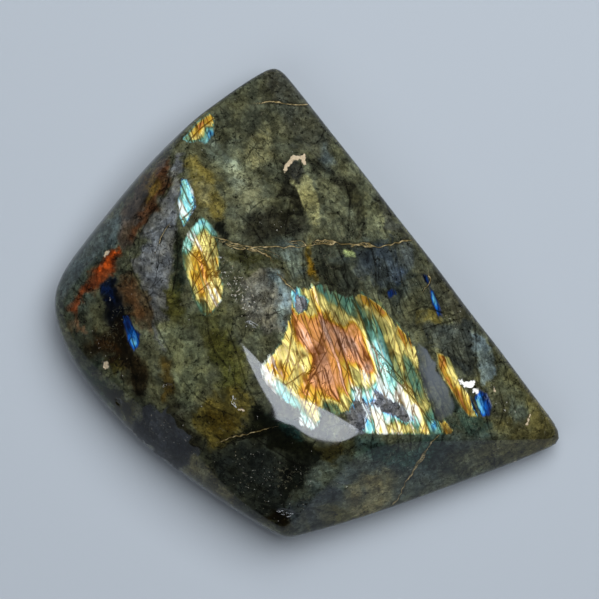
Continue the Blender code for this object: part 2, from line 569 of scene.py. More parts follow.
VEINS = (
    (
        (213, 237), (224, 239), (233, 243), (248, 247), (266, 247), (285, 247), (305, 246), (318, 244),
        (336, 243), (350, 244), (366, 246), (382, 247), (396, 243), (411, 240),
    ),
    ((222, 242), (238, 249), (252, 250), (266, 254), (270, 258)),
    ((291, 241), (299, 241), (306, 244)),
    ((316, 241), (326, 240), (336, 243)),
    ((352, 246), (364, 243), (376, 247)),
    ((264, 102), (272, 101), (281, 103), (300, 105), (307, 104)),
    ((438, 436), (429, 446), (421, 457), (416, 465), (412, 473), (405, 484), (398, 499), (392, 504)),
    ((427, 449), (424, 458), (415, 469), (409, 478)),
    ((159, 243), (164, 231), (168, 226)),
    ((222, 441), (237, 436), (252, 433), (266, 429)),
    ((279, 275), (286, 283), (294, 291)),
    ((429, 276), (430, 283), (426, 288)),
)
print(len(CRACKS), "cracks and", len(VEINS), "veins")

# %% [markdown]
# ## The body's clouds and crystals
# The stone between the flashes is feldspar in all the colours of a pond: grey-green,
# olive, slate and rust. It is painted in two passes, the way a painter would: broad soft
# clouds first, then the smaller crystals, which have edges. A few of the crystals are
# painted reflections of the light on the polish, partly or wholly.

# %% Broad clouds
# Each has a centre, a clockwise turn in degrees, two half-sizes, a colour and a strength.
Cloud = namedtuple("Cloud", "name centre turn half_length half_width colour strength")
BODY = (72, 74, 58)
CLOUDS = (
    Cloud("apex shade", (281, 86), 40, 26, 18, (56, 56, 50), 0.7),
    Cloud("upper olive", (262, 128), 60, 40, 26, (56, 58, 47), 0.8),
    Cloud("upper right", (310, 128), 55, 44, 16, (62, 64, 56), 0.7),
    Cloud("gold cloud", (264, 150), 80, 18, 13, (128, 127, 94), 0.8),
    Cloud("teal cloud", (232, 168), 75, 30, 16, (102, 112, 99), 0.85),
    Cloud("pale cloud", (246, 196), 62, 36, 17, (100, 103, 84), 0.85),
    Cloud("far cloud", (322, 196), 60, 38, 22, (78, 81, 65), 0.85),
    Cloud("far gold", (303, 200), 70, 20, 9, (134, 132, 92), 0.8),
    Cloud("cape", (322, 162), 15, 24, 8, (38, 40, 34), 0.8),
    Cloud("cape teal", (330, 150), 50, 14, 8, (80, 90, 90), 0.7),
    Cloud("dark stripe", (350, 200), 72, 36, 6, (30, 30, 24), 0.8),
    Cloud("right olive", (371, 217), 62, 28, 12, (94, 96, 72), 0.8),
    Cloud("right border", (392, 226), 52, 34, 6, (50, 52, 50), 0.7),
    Cloud("dark bay", (279, 226), 20, 24, 15, (34, 34, 28), 0.9),
    Cloud("under the pit", (289, 193), 100, 22, 7, (24, 24, 20), 0.85),
    Cloud("below the vein", (248, 258), 5, 28, 10, (42, 42, 24), 0.85),
    Cloud("slate gate", (288, 264), 80, 18, 13, (78, 88, 84), 0.8),
    Cloud("amber gate", (314, 264), 82, 18, 7, (96, 74, 20), 0.85),
    Cloud("brown gate", (338, 269), 80, 25, 16, (36, 38, 32), 0.95),
    Cloud("slate bay", (384, 268), 40, 42, 20, (38, 44, 45), 0.88),
    Cloud("blue bay", (392, 264), 60, 20, 8, (40, 52, 70), 0.6),
    Cloud("right shore", (446, 298), 55, 40, 14, (62, 62, 52), 0.8),
    Cloud("right corner", (522, 428), 20, 36, 30, (86, 80, 46), 0.8),
    Cloud("corner grey", (512, 408), 65, 22, 10, (74, 84, 80), 0.8),
    Cloud("right middle", (505, 385), 55, 44, 12, (78, 78, 54), 0.7),
    Cloud("below the leaf", (468, 418), 60, 22, 14, (44, 62, 58), 0.8),
    Cloud("left grey", (80, 285), -50, 50, 22, (58, 66, 60), 0.8),
    Cloud("left lower", (84, 345), 65, 46, 18, (50, 54, 46), 0.8),
    Cloud("left foot", (98, 385), 50, 32, 14, (22, 34, 26), 0.85),
    Cloud("lower olive", (123, 404), 40, 26, 12, (24, 21, 2), 0.85),
    Cloud("oval shade", (178, 268), 85, 46, 7, (28, 34, 28), 0.85),
    Cloud("deep olive", (222, 350), 75, 40, 20, (64, 64, 30), 0.85),
    Cloud("olive root", (176, 310), 70, 24, 12, (74, 72, 32), 0.7),
    Cloud("front left", (255, 480), 35, 66, 34, (31, 34, 31), 0.9),
    Cloud("teal under", (286, 432), 20, 18, 12, (16, 40, 40), 0.8),
    Cloud("front right", (395, 470), -15, 100, 30, (64, 73, 69), 0.85),
    Cloud("under ridge", (328, 448), -10, 34, 9, (52, 48, 24), 0.85),
    Cloud("front teal", (402, 452), 0, 40, 14, (44, 66, 62), 0.75),
    Cloud("front olive", (366, 494), -18, 28, 14, (106, 100, 70), 0.8),
    Cloud("front foot", (352, 514), -15, 30, 7, (70, 66, 38), 0.7),
    Cloud("front dusk", (446, 464), -15, 22, 9, (34, 42, 44), 0.7),
    Cloud("front slate", (306, 512), -30, 24, 17, (50, 56, 60), 0.8),
    Cloud("front far", (500, 452), -18, 40, 9, (68, 68, 48), 0.7),
    Cloud("bottom corner", (276, 526), 20, 16, 8, (20, 14, 2), 0.85),
)
print(len(CLOUDS), "clouds")

# %% Smaller crystals, and a few painted reflections among them
# Each has a colour, the softness of its edge in pixels, a strength and an outline.
Crystal = namedtuple("Crystal", "name colour softness strength outline")
CRYSTALS_AND_SHEENS = (
    Crystal("violet brown", (60, 52, 46), 3.0, 0.9, (
        (166, 153), (171, 166), (163, 193), (156, 209), (140, 229), (130, 246), (118, 246), (120, 219),
        (126, 200), (143, 179),
    )),
    Crystal("rust seam", (67, 46, 32), 2.5, 0.9, (
        (168, 155), (170, 173), (163, 191), (156, 206), (147, 218), (132, 240), (128, 236), (143, 211),
        (152, 194), (158, 176), (164, 164),
    )),
    Crystal("seam olive", (90, 74, 34), 3.0, 0.8, (
        (150, 175), (158, 172), (157, 192), (149, 203), (145, 192),
    )),
    Crystal("blue grey band", (64, 74, 74), 4.0, 0.85, (
        (121, 204), (124, 218), (118, 242), (100, 257), (81, 273), (65, 292), (56, 306), (54, 284),
        (63, 267), (90, 238),
    )),
    # The slate pane is a real pane between cracks. Its slate grey, and the paler slate light inside it, are
    # a painted sheen: the reflection of a soft light on the left shoulder.
    Crystal("slate pane with painted sheen", (90, 92, 94), 2.0, 0.9, (
        (177, 150), (184, 166), (179, 183), (178, 203), (176, 219), (173, 259), (169, 276), (163, 300),
        (168, 318), (168, 345), (160, 352), (152, 330), (150, 305), (140, 276), (130, 264), (140, 254),
        (147, 242), (140, 237), (148, 219), (160, 206), (169, 189), (172, 168),
    )),
    Crystal("painted slate sheen", (104, 108, 110), 4.0, 0.6, (
        (152, 225), (166, 205), (175, 222), (170, 240), (150, 240),
    )),
    Crystal("olive shore", (92, 84, 44), 3.5, 0.85, (
        (186, 157), (199, 158), (208, 167), (217, 179), (217, 191), (223, 203), (223, 214), (216, 222),
        (206, 215), (197, 203), (192, 187), (188, 176), (184, 168),
    )),
    Crystal("shore grey", (117, 116, 88), 4.0, 0.7, (
        (199, 180), (210, 184), (212, 203), (204, 208), (197, 196),
    )),
    Crystal("oval black", (20, 22, 20), 2.0, 0.9, (
        (216, 219), (226, 224), (229, 236), (224, 243), (218, 236),
    )),
    # The grey grain and the grain light inside it are a painted reflection: the dim grey veil of a light
    # mirrored in the polish, laid down in the shape of a grain.
    Crystal("painted grey veil", (99, 98, 88), 1.5, 0.95, (
        (268, 268), (280, 271), (288, 280), (294, 291), (291, 314), (286, 333), (268, 334), (249, 319),
        (240, 300), (243, 276), (254, 270),
    )),
    Crystal("painted pale veil", (95, 111, 114), 5.0, 0.8, (
        (270, 270), (280, 272), (291, 290), (289, 312), (284, 330), (276, 322), (280, 300), (272, 284),
    )),
    Crystal("rust crystal", (78, 66, 50), 3.0, 0.9, (
        (118, 276), (130, 271), (139, 283), (148, 298), (155, 318), (147, 330), (136, 318), (126, 312),
        (117, 295),
    )),
    Crystal("rust heart", (76, 50, 30), 4.0, 0.6, (
        (122, 283), (131, 280), (138, 296), (146, 312), (138, 318), (128, 305),
    )),
    Crystal("ember", (92, 45, 25), 3.0, 0.85, (
        (117, 247), (124, 252), (117, 267), (103, 283), (90, 295), (79, 307), (71, 316), (69, 308),
        (80, 291), (94, 270), (104, 257),
    )),
    Crystal("ember heart", (124, 56, 26), 3.5, 0.85, (
        (112, 251), (121, 252), (113, 266), (100, 279), (94, 280), (104, 263),
    )),
    Crystal("ember core", (204, 86, 32), 2.5, 0.75, (
        (114, 252), (119, 253), (112, 262), (103, 271), (99, 271), (107, 261),
    )),
    Crystal("ember rim", (106, 77, 56), 2.0, 0.7, (
        (68, 314), (74, 316), (78, 324), (88, 334), (82, 334), (72, 326),
    )),
    Crystal("navy crystal", (14, 16, 22), 3.0, 0.95, (
        (103, 281), (114, 276), (121, 293), (128, 318), (122, 340), (110, 330), (104, 312),
    )),
    Crystal("navy light", (18, 32, 62), 3.0, 0.8, (
        (103, 282), (110, 280), (114, 290), (113, 302), (107, 300),
    )),
    Crystal("black hollow", (26, 20, 12), 6.0, 0.85, (
        (84, 342), (101, 334), (112, 322), (122, 318), (126, 330), (132, 350), (140, 356), (147, 372),
        (148, 386), (139, 394), (130, 384), (122, 370), (108, 357), (92, 356),
    )),
    Crystal("hollow rust", (48, 34, 20), 4.0, 0.7, (
        (96, 330), (108, 340), (124, 350), (116, 356), (98, 348),
    )),
    Crystal("olive islet", (62, 58, 30), 2.5, 0.8, ((109, 360), (119, 358), (123, 368), (114, 374))),
    Crystal("bronze", (70, 57, 26), 3.5, 0.8, (
        (160, 360), (170, 364), (174, 378), (173, 394), (167, 400), (161, 392), (164, 378),
    )),
    Crystal("pale field", (98, 102, 76), 5.0, 0.9, (
        (166, 318), (176, 322), (188, 336), (203, 350), (210, 364), (206, 384), (193, 403), (180, 407),
        (174, 393), (174, 372), (168, 355), (160, 344), (157, 326),
    )),
    Crystal("honey", (82, 74, 36), 5.0, 0.85, (
        (193, 411), (206, 402), (219, 395), (236, 385), (250, 392), (254, 406), (248, 419), (238, 431),
        (226, 443), (208, 447), (196, 434),
    )),
    Crystal("honey shade", (56, 46, 16), 4.0, 0.7, (
        (206, 412), (222, 410), (236, 420), (222, 436), (210, 430),
    )),
    Crystal("black seam", (18, 19, 12), 4.0, 0.92, (
        (256, 401), (264, 406), (276, 418), (288, 432), (306, 441), (322, 447), (322, 459), (292, 456),
        (267, 443), (252, 437), (241, 439), (227, 445), (236, 433), (248, 423),
    )),
    Crystal("grey rub", (36, 38, 43), 2.0, 0.92, (
        (148, 408), (166, 405), (176, 419), (189, 436), (199, 450), (193, 460), (183, 472), (164, 460),
        (144, 443), (129, 427), (139, 422),
    )),
    Crystal("rub edge", (26, 24, 17), 3.0, 0.75, (
        (166, 402), (178, 410), (196, 434), (203, 450), (196, 450), (186, 432), (174, 416),
    )),
    Crystal("taupe band", (72, 70, 52), 4.0, 0.85, (
        (193, 457), (206, 464), (219, 477), (233, 493), (240, 510), (219, 500), (203, 487), (185, 473),
    )),
    Crystal("front black", (20, 22, 18), 6.0, 0.88, (
        (282, 452), (322, 450), (312, 470), (296, 492), (286, 500), (284, 478),
    )),
    Crystal("pit shade", (41, 42, 39), 3.0, 0.9, (
        (289, 165), (296, 162), (303, 166), (302, 176), (294, 181), (288, 176),
    )),
    Crystal("blue bay pane", (52, 58, 64), 4.0, 0.5, (
        (352, 249), (412, 244), (416, 262), (400, 284), (372, 284), (356, 270),
    )),
    Crystal("lime fleck", (172, 186, 120), 2.5, 0.85, ((345, 252), (351, 250), (352, 257), (347, 259))),
    Crystal("right gold", (112, 102, 52), 4.0, 0.8, (
        (419, 314), (430, 310), (441, 318), (436, 324), (424, 323),
    )),
    Crystal("dark pane", (54, 58, 54), 2.5, 0.9, (
        (424, 326), (446, 322), (474, 322), (476, 350), (476, 376), (462, 372), (446, 352), (428, 342),
    )),
    Crystal("blue pane", (108, 124, 130), 2.5, 0.85, (
        (473, 332), (484, 336), (491, 352), (494, 372), (489, 386), (481, 382), (477, 362),
    )),
)
print(len(CRYSTALS_AND_SHEENS), "crystals")

# %% A painted grey reflection: the glare of a light, mirrored over the edge of the great flash
GLARE_OUTLINE = (
    (417, 343), (427, 350), (434, 361), (440, 376), (448, 390), (454, 404), (453, 414), (444, 419),
    (437, 421), (433, 407), (427, 397), (422, 383), (419, 362),
)
GLARE_LEFT_EDGE = ((417, 343), (419, 362), (422, 383), (427, 397), (433, 407), (437, 421))

# %% Small solid marks: chips of pale mineral, and white flecks
CHIPS = (
    (
        (283, 170), (285, 165), (289, 160), (291, 156), (295, 155), (300, 156), (304, 154), (306, 158),
        (306, 165), (303, 164), (301, 160), (296, 159), (292, 162), (288, 167), (286, 172),
    ),
    ((103, 362), (107, 361), (109, 366), (106, 370), (103, 367)),
    ((240, 408), (245, 410), (244, 412), (240, 410)),
    ((508, 464), (519, 461), (518, 464), (509, 467)),
    ((526, 425), (529, 414), (530.5, 414), (528, 426)),
    ((493.5, 385), (495, 388), (495.5, 392), (494, 392)),
    ((103, 256), (106, 252), (109, 250), (110, 251), (105, 257)),
)
WHITE_FLECKS = (
    (
        (458, 379), (462, 380), (465, 382), (470, 381), (474, 381), (475, 385), (470, 388), (466, 387),
        (463, 386),
    ),
    ((473, 389), (476, 388), (479, 389), (479, 392), (476, 394), (473, 392)),
)

# %% Pits, and where small flecks gather
# Centre, turn and half-sizes, then a pit's depth in millimetres or the flecks' density.
PITS = (
    ((296, 169), 10, 6, 4, 0.12),
    ((344, 485), 0, 4, 3, 0.4),
    ((168, 386), 30, 4, 3, 0.35),
    ((119, 402), 45, 4, 2.5, 0.3),
    ((236, 402), 70, 5, 3, 0.25),
    ((286, 512), 15, 9, 2.5, 0.35),
    ((221, 262), 60, 5, 3, 0.3),
    ((251, 326), 30, 7, 3, 0.35),
)
FLECKED = (
    ((238, 290), 62, 36, 13, 0.75),
    ((252, 324), 35, 16, 6, 0.6),
    ((150, 246), -30, 30, 9, 0.35),
    ((114, 310), 70, 22, 7, 0.35),
    ((262, 478), 30, 50, 30, 0.38),
    ((396, 471), 10, 18, 10, 0.40),
    ((296, 508), -20, 16, 9, 0.30),
    ((284, 222), 0, 26, 14, 0.30),
    ((454, 318), 10, 14, 7, 0.40),
    ((314, 476), -40, 18, 7, 0.25),
    ((505, 405), 60, 34, 12, 0.40),
    ((100, 350), 60, 40, 22, 0.30),
    ((165, 435), 50, 34, 20, 0.36),
)
FLECKED_EVERYWHERE = 0.08
COMBED = ((392, 340), 35, 150, 105)  # where fine layers show as dark combing
print(len(CHIPS + WHITE_FLECKS), "chips and", len(PITS), "pits")


# %% Paint the body
def laid_over(colour, share, over):
    """A colour, covered by another one as far as each point's share says."""
    share = share[:, None]
    return colour * (1 - share) + np.array(over) * share


def body_colours(points):
    """The colour, 0 to 255, that the clouds and crystals give each point."""
    soft, crisp = cloud_drift(points), crisp_drift(points)
    colour = np.tile(np.array(BODY, float), (len(points), 1))
    for cloud in CLOUDS:
        share = spot(soft, cloud.centre, cloud.turn, cloud.half_length, cloud.half_width)
        colour = laid_over(colour, share * cloud.strength, cloud.colour)
    for crystal in CRYSTALS_AND_SHEENS:
        depth = depth_inside(crisp, crystal.outline)
        share = step(depth, -crystal.softness, crystal.softness)
        colour = laid_over(colour, share * crystal.strength, crystal.colour)
    for hole in HOLES:
        share = step(depth_inside(crisp, hole.outline), -6.0, -2.0)
        colour = laid_over(colour, share, HOLE_COLOUR)
    return colour


def fleck_density(points):
    density = np.full(len(points), FLECKED_EVERYWHERE)
    for centre, turn, half_length, half_width, most in FLECKED:
        share = spot(points, centre, turn, half_length, half_width, 0.6)
        density = np.maximum(density, share * most)
    return density


# %% [markdown]
# ## The net of the stone
# We fold a cube's faces into an even net and cut the squares of the display side finer
# before the net is ground, and those under the chips and pits finer again. The extra
# points carry the drawing, and the plain underside stays light.

# %% Fold and refine the net
NET_CUTS = 70
UPPER = 8.5  # millimetres; the net is finer above this height
MARK_MARGIN = 3.0  # pixels around a chip or pit in which the net is finest
HARD_EDGE = 0.01


def cut_finer(net, wanted, cuts):
    net.verts.index_update()
    edges = [e for e in net.edges if wanted[e.verts[0].index] and wanted[e.verts[1].index]]
    bmesh.ops.subdivide_edges(net, edges=edges, cuts=cuts, use_grid_fill=True)


def near_marks(pixels):
    near = deepest(pixels, CHIPS + WHITE_FLECKS) > -MARK_MARGIN
    for centre, turn, half_length, half_width, _ in PITS:
        length, width = half_length + MARK_MARGIN, half_width + MARK_MARGIN
        near |= spot(pixels, centre, turn, length, width, HARD_EDGE) > 0
    return near


net = bmesh.new()
bmesh.ops.create_cube(net, size=2)
bmesh.ops.subdivide_edges(net, edges=net.edges[:], cuts=NET_CUTS, use_grid_fill=True)
cut_finer(net, ground(net)[:, 2] > UPPER, 1)
coarse = ground(net)
cut_finer(net, near_marks(seen(coarse)) & (coarse[:, 2] > UPPER), 2)
points = ground(net)
middle = (points.min(axis=0) + points.max(axis=0)) / 2
points = points - (middle[0], middle[1], 0.0)
picture = seen(points)
print(len(net.verts), "points,", sum(len(f.verts) - 2 for f in net.faces), "triangles")

# %% [markdown]
# ## Chips and pits
# Polishing tears small crumbs out of the stone where crystals meet. They are cut here as
# real dents, so that they catch the light: each pit is a small bowl, and the chips are
# shallow, rough steps.

# %% Sink the chips and pits
CHIP_DEPTH, CHIP_ROUGHNESS = 0.22, 0.08
PIT_ROUGHNESS = 0.04
height_mask = step(points[:, 2], UPPER - 1.0, UPPER + 1.5)
chips = deepest(drifted(picture, 5, 0.5, 7), CHIPS + WHITE_FLECKS)
rough = drift(picture, 3.0, 9)
pitted = np.zeros(len(points))
sunk = step(chips, -0.8, 1.0) * (CHIP_DEPTH + CHIP_ROUGHNESS * rough)
for centre, turn, half_length, half_width, pit_depth in PITS:
    bowl = spot(drifted(picture, 6, 0.6, 11), centre, turn, half_length, half_width, 0.6)
    sunk = np.maximum(sunk, bowl * (pit_depth + PIT_ROUGHNESS * rough))
    pitted = np.maximum(pitted, bowl)
points[:, 2] -= sunk * height_mask
print("deepest pit", round(float((sunk * height_mask).max()), 2), "mm")

# %% Move the net to the stone
for vertex, point in zip(net.verts, points):
    vertex.co = point * MM
stone_mesh = bpy.data.meshes.new("dressed_stone")
net.to_mesh(stone_mesh)
net.free()
stone_mesh.shade_smooth()
stone = bpy.data.objects.new("dressed_stone", stone_mesh)
scene.collection.objects.link(stone)
normals = np.array([tuple(corner.vector) for corner in stone_mesh.vertex_normals])
print("height", round(float(points[:, 2].max()), 1), "mm")


# %% [markdown]
# ## Hand the markings to the material
# Each marking becomes an attribute of the mesh, with one value at each of its points.
# The material reads them by name and draws the edges between the points itself, so they
# stay sharper than the net is fine.

# %% A helper that stores a marking
def store(name, kind, values):
    """Keeps one value for each point of the stone, for the material to read."""
    field = stone_mesh.attributes.new(name, kind, "POINT")
    key = {"FLOAT": "value", "FLOAT_VECTOR": "vector", "FLOAT_COLOR": "color"}[kind]
    field.data.foreach_set(key, np.ravel(values).astype(np.float32))


# %% Store where the flashes are and how they glow
EXPOSED = 1.25  # how much brighter than full white the lights make a white surface
GAMMA = 2.2
RIDGE = 434.5  # the pixel row of the sharp ridge that ends the great flash
SMALL_RAGGED = 0.25  # the small flashes have cleaner edges than the great one
SMALL_MARGIN = 6  # pixels around the small flashes in which that holds
depth, hue, glow = flash_fields(picture)
on_top = (step(normals[:, 2], 0.25, 0.4) > 0.5) & (height_mask > 0.5)
small = deepest(picture, [flash.outline for flash in FLASHES[1:]]) > -SMALL_MARGIN
store("flash_depth", "FLOAT", np.where(on_top, depth, NO_FLASH))
store("flash_hue", "FLOAT", hue)
store("flash_glow", "FLOAT", glow)
great_ragged = np.clip((RIDGE - picture[:, 1]) / 10, 0.12, 1)
store("ragged", "FLOAT", np.where(small, SMALL_RAGGED, great_ragged))

# %% Store the body, its lines and its marks
body = (body_colours(picture) / 255) ** GAMMA / EXPOSED
store("seen", "FLOAT_VECTOR", np.column_stack((picture, np.zeros(len(points)))))
store("body", "FLOAT_COLOR", np.column_stack((body, np.ones(len(points)))))
store("crack", "FLOAT", signed_distance(picture, CRACKS))
store("vein", "FLOAT", signed_distance(drifted(picture, 9, 0.5, 13), VEINS))
store("flecks", "FLOAT", fleck_density(drifted(picture, 14, 3.0, 15)))
store("combed", "FLOAT", spot(picture, *COMBED))
store("chips", "FLOAT", chips)
store("white", "FLOAT", deepest(picture, WHITE_FLECKS))
grey_rub = next(crystal for crystal in CRYSTALS_AND_SHEENS if crystal.name == "grey rub")
rub_depth = depth_inside(crisp_drift(picture), grey_rub.outline)
store("rubbed", "FLOAT", np.maximum(step(rub_depth, -1.5, 1.5), pitted * 0.6))

# %% Store the painted grey reflection, which is fainter along its left edge and towards its foot
glare_picture = drifted(picture, 16, 1.0, 21)
left_gap, _ = nearest_on(glare_picture, GLARE_LEFT_EDGE)
painted_glare = step(depth_inside(glare_picture, GLARE_OUTLINE), -0.7, 0.9)
painted_glare = painted_glare * (0.3 + 0.7 * step(left_gap, 0, 8)) * (0.95 - 0.5 * step(picture[:, 1], 376, 416))
store("painted_glare", "FLOAT", painted_glare)
print(len(stone_mesh.attributes), "attributes")

# %% [markdown]
# ## The finish
# Everything so far only says where things are. The material turns it into stone. A short
# helper adds a node, sets or links its inputs by name, and returns it, so that each step
# of the material reads like a sentence.


# %% Helpers that add nodes
def give(tree, socket, value):
    """Sets a node's input, or links it when the value is another node's output."""
    if isinstance(value, bpy.types.NodeSocket):
        tree.links.new(value, socket)
    else:
        socket.default_value = value


def add(tree, kind, inputs=(), **settings):
    """A new node. Inputs maps a socket's name or number to a value or to another socket."""
    node = tree.nodes.new(kind)
    for key, value in settings.items():
        setattr(node, key, value)
    for key, value in dict(inputs).items():
        give(tree, node.inputs[key], value)
    return node


def calc(tree, operation, *values):
    """A Math node's result."""
    return add(tree, "ShaderNodeMath", enumerate(values), operation=operation).outputs[0]


def fit(tree, value, low, high, to_low=0.0, to_high=1.0):
    """A value moved smoothly from one range to another."""
    inputs = {"Value": value, "From Min": low, "From Max": high, "To Min": to_low, "To Max": to_high}
    node = add(tree, "ShaderNodeMapRange", inputs, interpolation_type="SMOOTHSTEP")
    return node.outputs["Result"]


def blend(tree, share, a, b, mode="MIX"):
    """Two colours mixed by a share from 0 to 1."""
    node = add(tree, "ShaderNodeMix", data_type="RGBA", blend_type=mode)
    sockets = {socket.identifier: socket for socket in node.inputs}
    for name, value in (("Factor_Float", share), ("A_Color", a), ("B_Color", b)):
        give(tree, sockets[name], value)
    return next(socket for socket in node.outputs if socket.identifier == "Result_Color")


def paint(red, green, blue):
    """A colour as the eye reads it, 0 to 255, made into the light that Blender mixes."""
    return tuple((c / 255) ** GAMMA / EXPOSED for c in (red, green, blue)) + (1.0,)


# %% [markdown]
# ### Slats of cleavage
# Inside a flash the layers are cut by long, nearly parallel cracks. A cell pattern that is
# squeezed across and stretched along gives such slats: its cell borders are the cracks,
# and each cell has a random number that makes its slat a little brighter or redder than
# the next. It is a node group, because several families of cracks cross each other.


# %% Build the slats group
FLOAT, VECTOR = "NodeSocketFloat", "NodeSocketVector"
LINE_CORE = 0.3  # the share of a line's width that is fully dark


def new_group(name, inputs, outputs):
    group = bpy.data.node_groups.new(name, "ShaderNodeTree")
    for label, kind, default in inputs:
        socket = group.interface.new_socket(label, in_out="INPUT", socket_type=kind)
        if default is not None:
            socket.default_value = default
    for label in outputs:
        group.interface.new_socket(label, in_out="OUTPUT", socket_type=FLOAT)
    return group, group.nodes.new("NodeGroupInput").outputs, group.nodes.new("NodeGroupOutput").inputs


SLATS_INPUTS = (
    ("Place", VECTOR, None),
    ("Turn", FLOAT, 0.0),
    ("Spacing", FLOAT, 8.0),
    ("Length", FLOAT, 60.0),
    ("Line", FLOAT, 0.08),
)
slats_group, given, result = new_group("slats", SLATS_INPUTS, ("Lines", "Slat"))
turning = {"Vector": given["Place"], "Angle": given["Turn"]}
turned = add(slats_group, "ShaderNodeVectorRotate", turning, rotation_type="Z_AXIS")
sizes = {"X": given["Length"], "Y": given["Spacing"], "Z": 1.0}
cell_size = add(slats_group, "ShaderNodeCombineXYZ", sizes)
division = {0: turned.outputs[0], 1: cell_size.outputs[0]}
in_cells = add(slats_group, "ShaderNodeVectorMath", division, operation="DIVIDE").outputs[0]
borders, cells = (
    add(
        slats_group,
        "ShaderNodeTexVoronoi",
        {"Vector": in_cells, "Scale": 1.0},
        voronoi_dimensions="2D",
        feature=feature,
    )
    for feature in ("DISTANCE_TO_EDGE", "F1")
)
line_core = calc(slats_group, "MULTIPLY", given["Line"], LINE_CORE)
line_mask = fit(slats_group, borders.outputs["Distance"], given["Line"], line_core)
cell_value = add(slats_group, "ShaderNodeSeparateColor", {"Color": cells.outputs["Color"]})
give(slats_group, result["Lines"], line_mask)
give(slats_group, result["Slat"], cell_value.outputs[0])
print("slats has", len(slats_group.nodes), "nodes")

# %% [markdown]
# ### Flecks
# Tiny crumbs of other minerals float in the stone, some pale and some black. They are the
# peaks of a very fine noise: a density of 0 leaves none above the waterline, and a density
# of 1 shows half of them, so that one number thins them out or packs them together.

# %% Build the flecks group
FLECKS_INPUTS = (
    ("Place", VECTOR, None),
    ("Scale", FLOAT, 2000.0),
    ("Density", FLOAT, 0.1),
)
SHORE = 0.05  # how far above the waterline a fleck is whole
flecks_group, given, result = new_group("flecks", FLECKS_INPUTS, ("Mask", "Value"))
noise_inputs = {"Vector": given["Place"], "Scale": given["Scale"], "Detail": 2.0, "Roughness": 0.5}
crumbs = add(flecks_group, "ShaderNodeTexNoise", noise_inputs)
crumb_colour = add(flecks_group, "ShaderNodeSeparateColor", {"Color": crumbs.outputs["Color"]})
tide = {"Value": given["Density"], "From Min": 0.0, "From Max": 1.0, "To Min": 0.77, "To Max": 0.5}
waterline = add(flecks_group, "ShaderNodeMapRange", tide).outputs["Result"]
shore = calc(flecks_group, "ADD", waterline, SHORE)
give(flecks_group, result["Mask"], fit(flecks_group, crumbs.outputs["Fac"], waterline, shore))
give(flecks_group, result["Value"], crumb_colour.outputs[2])
print("flecks has", len(flecks_group.nodes), "nodes")

# %% [markdown]
# ### The stone's material
# We start with the painted feldspar and break it up with streaks, mottling and grains.
# Then we lay the flashes over it, and draw the cracks, veins and chips last. The
# Principled shader gives the polish.

# %% Start the material
material = bpy.data.materials.new("polished_labradorite")
material.use_nodes = True
tree = material.node_tree
shader = tree.nodes["Principled BSDF"]
here = add(tree, "ShaderNodeTexCoord").outputs["Object"]
ease, mix = partial(fit, tree), partial(blend, tree)


def chain(operation):
    """A function that joins any number of values by one operation."""

    def joined(first, *others):
        for other in others:
            first = calc(tree, operation, first, other)
        return first

    return joined


times, plus, largest = chain("MULTIPLY"), chain("ADD"), chain("MAXIMUM")


# %% Read the markings, and make noise
def marking(name, output="Fac"):
    return add(tree, "ShaderNodeAttribute", attribute_name=name).outputs[output]


def grain(scale, detail=4.0, roughness=0.6, vector=here):
    """Cloudy noise with features about 1 / scale metres across, from 0 to 1."""
    inputs = {"Vector": vector, "Scale": scale, "Detail": detail, "Roughness": roughness}
    return add(tree, "ShaderNodeTexNoise", inputs).outputs


def patchy(scale, low, high):
    """A mask of soft patches."""
    return ease(grain(scale)["Fac"], low, high)


def swing(value, width):
    """A value around 0.5, made to swing around 0 over a width."""
    return times(plus(value, -0.5), width)


def vector_math(operation, vector, other):
    key = "Scale" if operation == "SCALE" else 1
    return add(tree, "ShaderNodeVectorMath", {0: vector, key: other}, operation=operation).outputs[0]


def shaken(vector, scale, amount):
    """A place, moved a little by noise."""
    centred = vector_math("SUBTRACT", grain(scale, 3.0)["Color"], (0.5, 0.5, 0.5))
    return vector_math("ADD", vector, vector_math("SCALE", centred, amount))


def group_node(group, **inputs):
    return add(tree, "ShaderNodeGroup", inputs, node_tree=group).outputs


# %% Streaks and slats along the cleavage
STEEP, LEANING, DIAGONAL, FLAT = (math.radians(a) for a in (-71, -104, -54, -20))
place = marking("seen", "Vector")
wavy_place = shaken(place, 70.0, 12.0)


def streaks(turn, along, across):
    """Noise drawn out along one direction."""
    turning = {"Vector": wavy_place, "Angle": turn}
    turned = add(tree, "ShaderNodeVectorRotate", turning, rotation_type="Z_AXIS").outputs[0]
    return grain(1.0, vector=vector_math("MULTIPLY", turned, (1 / along, 1 / across, 1.0)))["Fac"]


def slats(turn, spacing, length, line, vector=wavy_place):
    """One family of parallel cracks and the slats between them."""
    return group_node(slats_group, Place=vector, Turn=turn, Spacing=spacing, Length=length, Line=line)


body_streaks = streaks(STEEP, 26.0, 4.0)
flash_streaks = streaks(STEEP, 34.0, 3.0)

# %% The feldspar: painted clouds, broken up by grains and streaks
crumpled = shaken(here, 260.0, 0.005)


def grains(scale, low, high):
    """Crystals with clear borders, each a little darker or lighter than the next."""
    cells = add(tree, "ShaderNodeTexVoronoi", {"Vector": crumpled, "Scale": scale})
    value = add(tree, "ShaderNodeSeparateColor", {"Color": cells.outputs["Color"]}).outputs[0]
    return ease(value, 0.0, 1.0, low, high)


